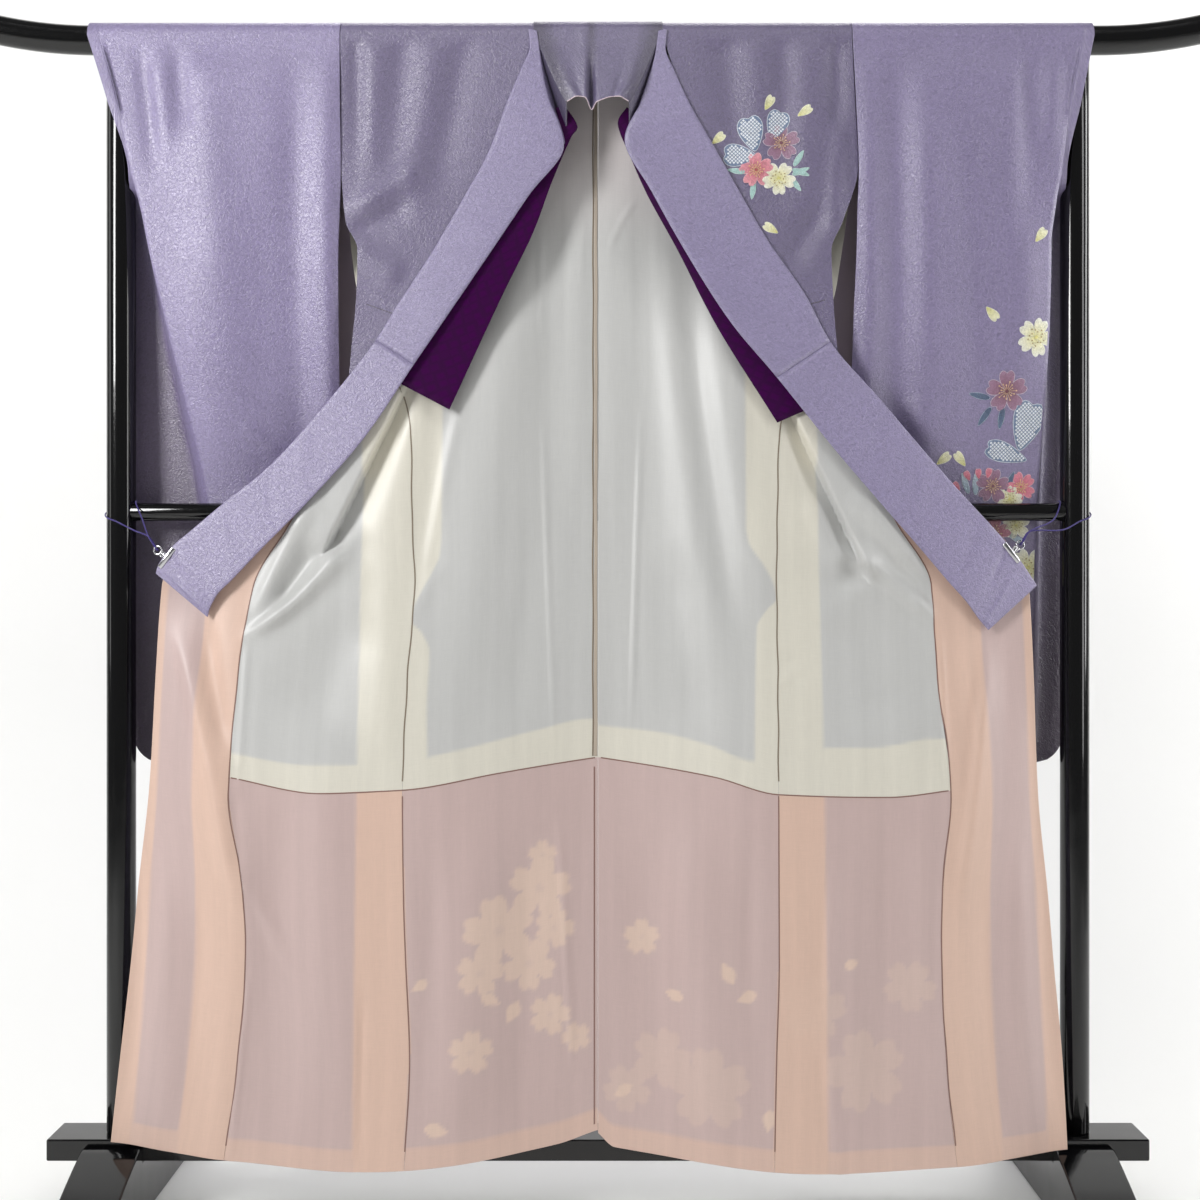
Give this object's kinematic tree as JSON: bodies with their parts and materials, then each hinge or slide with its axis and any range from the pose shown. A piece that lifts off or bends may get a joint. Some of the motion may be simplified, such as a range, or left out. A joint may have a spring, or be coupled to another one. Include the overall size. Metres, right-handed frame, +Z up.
{
  "type": "furisode kimono on a kimono stand",
  "caption": "Lilac crepe furisode kimono with a pale lining, hung open on a black lacquered kimono stand, its fronts drawn apart and clipped to the posts.",
  "frame": {"origin": "on the floor, under the centre back seam and the axis of the top rail, midway between the two feet", "axes": "+X toward the viewer's right along the top rail, +Y from the open front toward the back of the kimono, +Z up"},
  "size_m": [1.8114, 0.48, 1.6822],
  "materials": {
    "lacquer": "glossy black lacquer on turned and planed wood",
    "crepe_silk": "lilac silk crepe with a fine pebbled grain and painted blossoms",
    "lining_silk": "smooth white plain-weave silk lining with a soft sheen",
    "hem_lining_silk": "peach silk hem lining, the outer motifs showing faintly through",
    "accent_silk": "deep purple figured silk accent collar with a thin pale edging",
    "clip_metal": "bright nickel-plated sheet steel",
    "tie_cord": "deep violet braided cord"
  },
  "bodies": {
    "root": {"top_rail": "lacquer", "post_l": "lacquer", "post_r": "lacquer", "foot_l": "lacquer", "foot_r": "lacquer", "crossbar": "lacquer", "base_bar": "lacquer", "back_outer_l": "crepe_silk", "back_outer_r": "crepe_silk", "front_outer_l": "crepe_silk", "front_outer_r": "crepe_silk", "okumi_outer_l": "crepe_silk", "okumi_outer_r": "crepe_silk", "shoulder_outer_l": "crepe_silk", "shoulder_outer_r": "crepe_silk", "sleeve_outer_l": "crepe_silk", "sleeve_outer_r": "crepe_silk", "over_collar_l": "crepe_silk", "over_collar_r": "crepe_silk", "collar_l": "crepe_silk", "collar_r": "crepe_silk", "neck_collar": "crepe_silk", "back_lining_l": "lining_silk", "back_lining_r": "lining_silk", "front_lining_l": "lining_silk", "front_lining_r": "lining_silk", "shoulder_lining_l": "lining_silk", "shoulder_lining_r": "lining_silk", "sleeve_lining_l": "lining_silk", "sleeve_lining_r": "lining_silk", "back_hem_lining_l": "hem_lining_silk", "back_hem_lining_r": "hem_lining_silk", "front_hem_lining_l": "hem_lining_silk", "front_hem_lining_r": "hem_lining_silk", "okumi_lining_l": "hem_lining_silk", "okumi_lining_r": "hem_lining_silk", "accent_collar_l": "accent_silk", "accent_collar_r": "accent_silk", "clip_l": "clip_metal", "clip_r": "clip_metal", "cord_l": "tie_cord", "cord_r": "tie_cord"}
  },
  "joints": []
}
